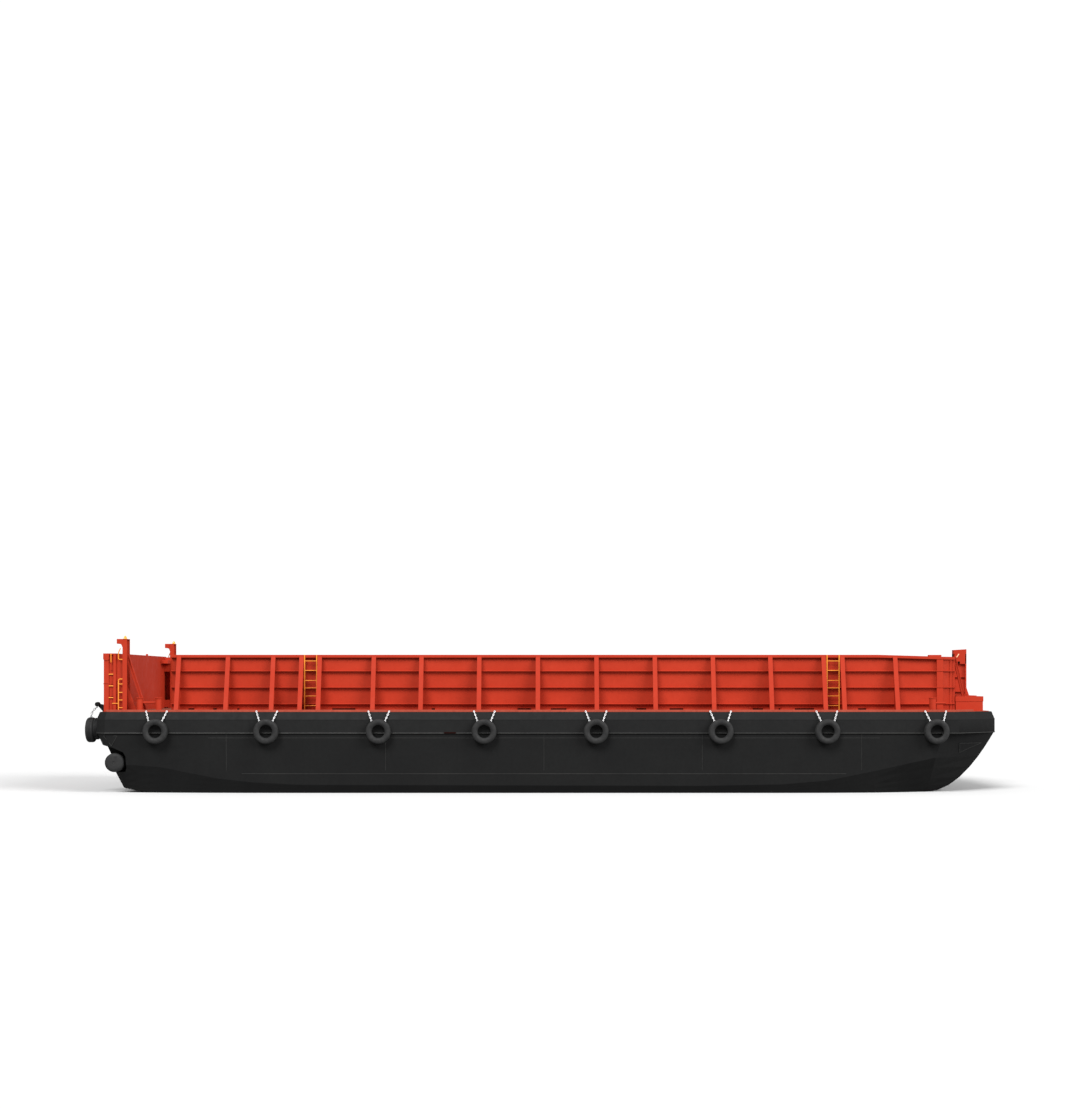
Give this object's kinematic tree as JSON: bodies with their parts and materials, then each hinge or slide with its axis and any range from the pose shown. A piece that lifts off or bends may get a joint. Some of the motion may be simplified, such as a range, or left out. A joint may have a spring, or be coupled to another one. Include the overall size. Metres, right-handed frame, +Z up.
{
  "type": "river barge",
  "caption": "Flat-bottomed river barge with raked ends, a deck bin of stiffened plate walls, tyre fenders on chains, hook posts, ladders, bollards and bow lockers with hinged lids.",
  "frame": {"origin": "on the floor under the middle of the barge's box", "axes": "+X towards the bow, +Y to port, +Z up"},
  "size_m": [38.53, 11.6006, 6.5753],
  "materials": {
    "hull_black": "satin",
    "orange_paint": "satin",
    "safety_yellow": "satin",
    "tyre_rubber": "matte",
    "lamp_amber": "gloss",
    "chain_steel": "galvanised"
  },
  "bodies": {
    "root": {"bin_corner_port": "orange_paint", "bin_corner_starboard": "orange_paint", "bin_wall_bow": "orange_paint", "bin_wall_port": "orange_paint", "bin_wall_starboard": "orange_paint", "bow_bollard_port": "orange_paint", "bow_bollard_starboard": "orange_paint", "bow_brace_port": "orange_paint", "bow_brace_starboard": "orange_paint", "bow_locker_port": "orange_paint", "bow_locker_starboard": "orange_paint", "cargo_floor": "orange_paint", "deck": "orange_paint", "fairlead_port": "hull_black", "fairlead_starboard": "hull_black", "grab_handle_port": "safety_yellow", "grab_handle_starboard": "safety_yellow", "hook_post_port": "orange_paint", "hook_post_starboard": "orange_paint", "hull": "hull_black", "ladder_port_aft": "safety_yellow", "ladder_port_fore": "safety_yellow", "ladder_starboard_aft": "safety_yellow", "ladder_starboard_fore": "safety_yellow", "lamp_port": "lamp_amber", "lamp_starboard": "lamp_amber", "light_tower": "orange_paint", "stern_bollards_port": "orange_paint", "stern_bollards_starboard": "orange_paint", "stern_ladder_port": "safety_yellow", "stern_ladder_starboard": "safety_yellow", "stern_roller_port": "tyre_rubber", "stern_roller_starboard": "tyre_rubber", "stern_wall": "orange_paint", "strut_port": "orange_paint", "strut_starboard": "orange_paint", "tyre_port_1": "tyre_rubber", "tyre_port_2": "tyre_rubber", "tyre_port_3": "tyre_rubber", "tyre_port_4": "tyre_rubber", "tyre_port_5": "tyre_rubber", "tyre_port_6": "tyre_rubber", "tyre_port_7": "tyre_rubber", "tyre_port_8": "tyre_rubber", "tyre_starboard_1": "tyre_rubber", "tyre_starboard_2": "tyre_rubber", "tyre_starboard_3": "tyre_rubber", "tyre_starboard_4": "tyre_rubber", "tyre_starboard_5": "tyre_rubber", "tyre_starboard_6": "tyre_rubber", "tyre_starboard_7": "tyre_rubber", "tyre_starboard_8": "tyre_rubber", "tyre_stern_port": "tyre_rubber", "tyre_stern_starboard": "tyre_rubber"},
    "lid_port": {"locker_lid_port": "orange_paint"},
    "lid_starboard": {"locker_lid_starboard": "orange_paint"}
  },
  "joints": [
    {"name": "lid_port_hinge", "type": "hinge", "parent": "root", "child": "lid_port", "pos_m": [17.66, 1.95, 4.0523], "axis": [0, -1, 0], "range_deg": [0, 88]},
    {"name": "lid_starboard_hinge", "type": "hinge", "parent": "root", "child": "lid_starboard", "pos_m": [17.66, -1.95, 4.0523], "axis": [0, -1, 0], "range_deg": [0, 88]}
  ]
}
